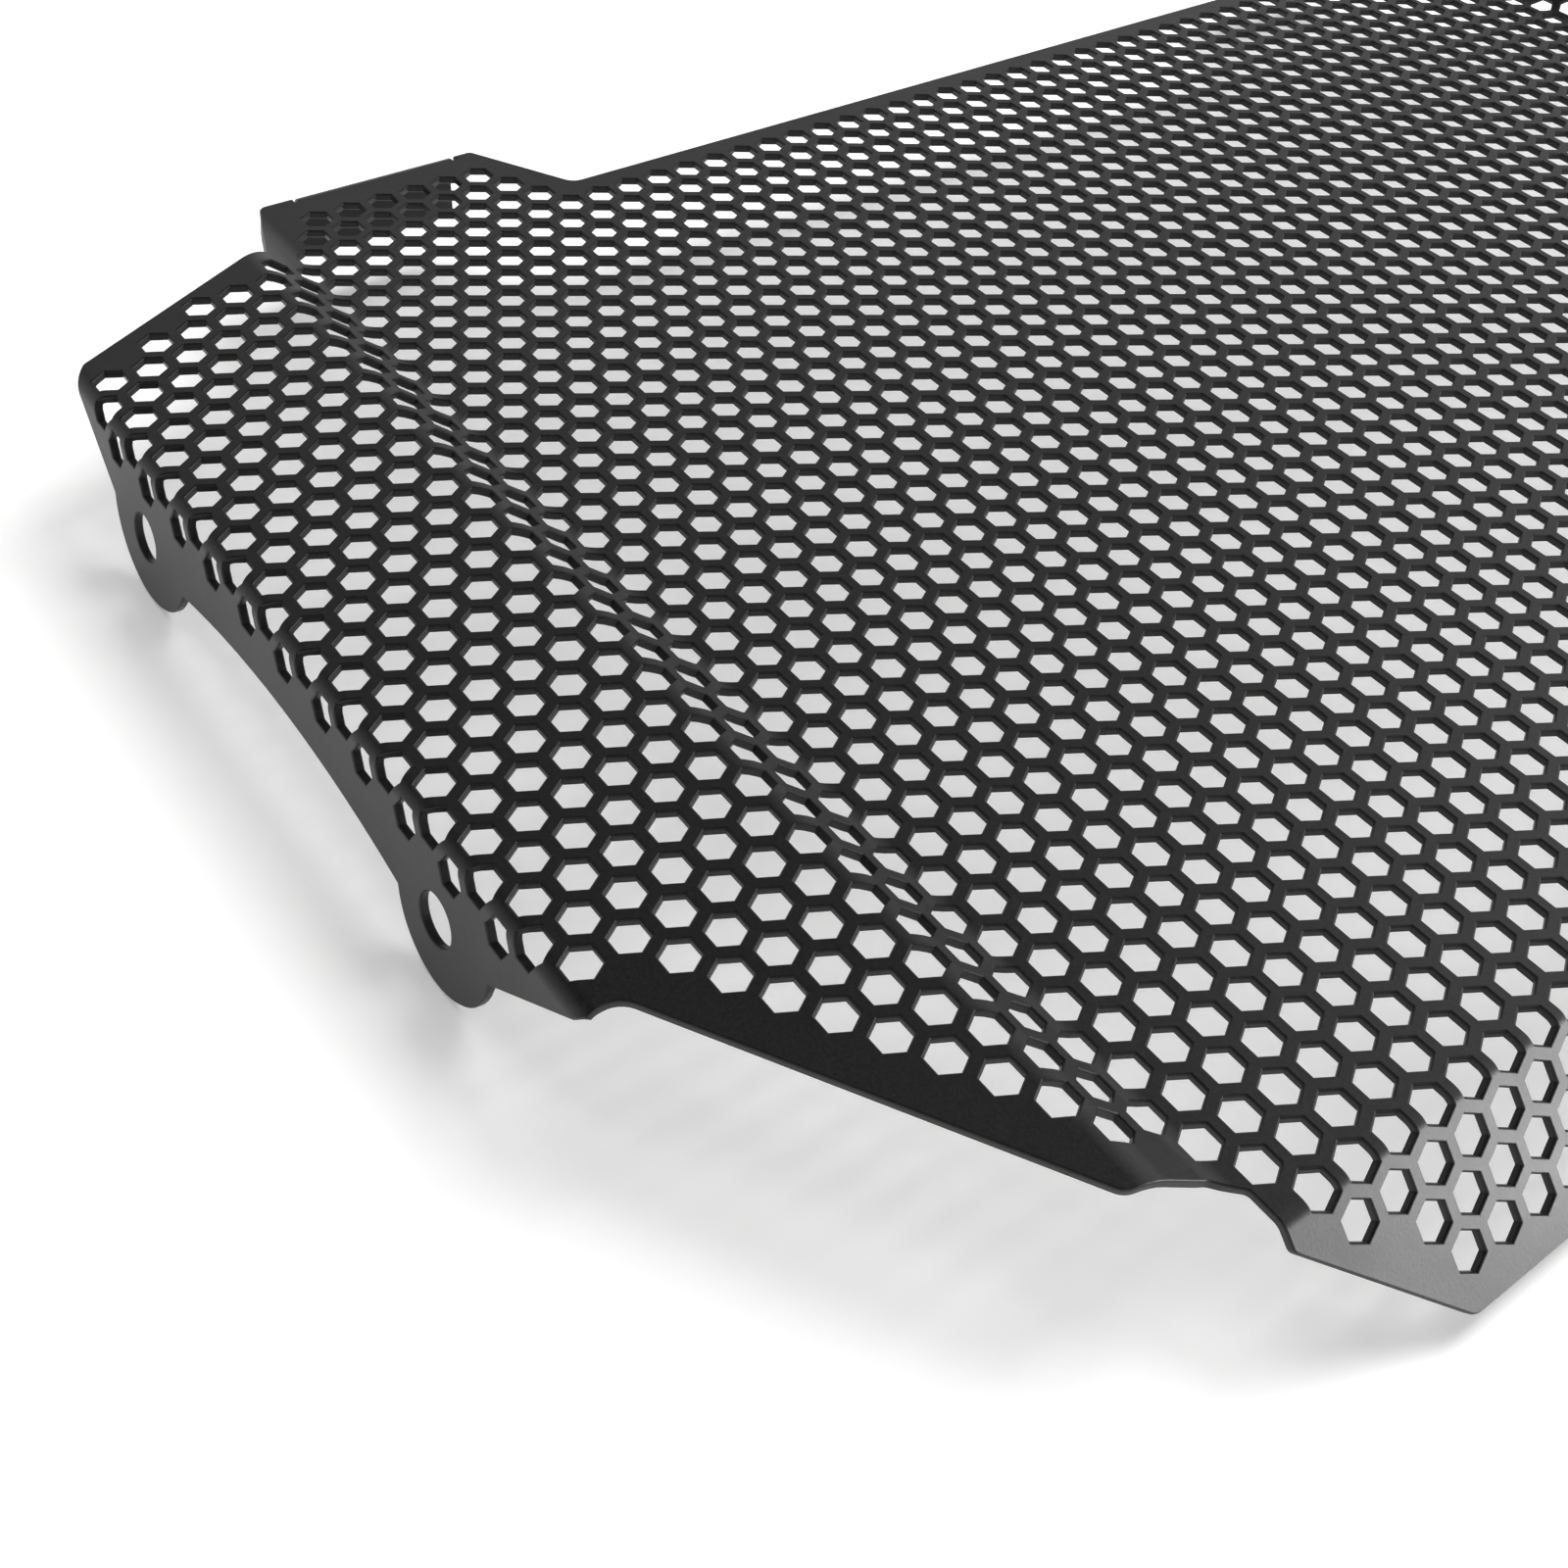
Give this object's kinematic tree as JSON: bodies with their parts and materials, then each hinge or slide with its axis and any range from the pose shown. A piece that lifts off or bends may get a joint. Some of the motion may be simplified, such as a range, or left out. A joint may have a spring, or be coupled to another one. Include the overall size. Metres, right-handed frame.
{
  "type": "motorcycle radiator guard",
  "caption": "Folded sheet guard with hexagonal perforations that bolts over the front of a motorcycle radiator and keeps stones off its core.",
  "frame": {"origin": "middle of the outline, on the plane that the four side tabs stand on", "axes": "+X across the guard, +Y towards the edge with the two flat tabs, +Z out of the front face"},
  "size_m": [0.4274, 0.2844, 0.0275],
  "materials": {
    "guard": "satin black powder coat with a fine grain"
  },
  "bodies": {
    "root": {"guard": "guard"}
  },
  "joints": []
}
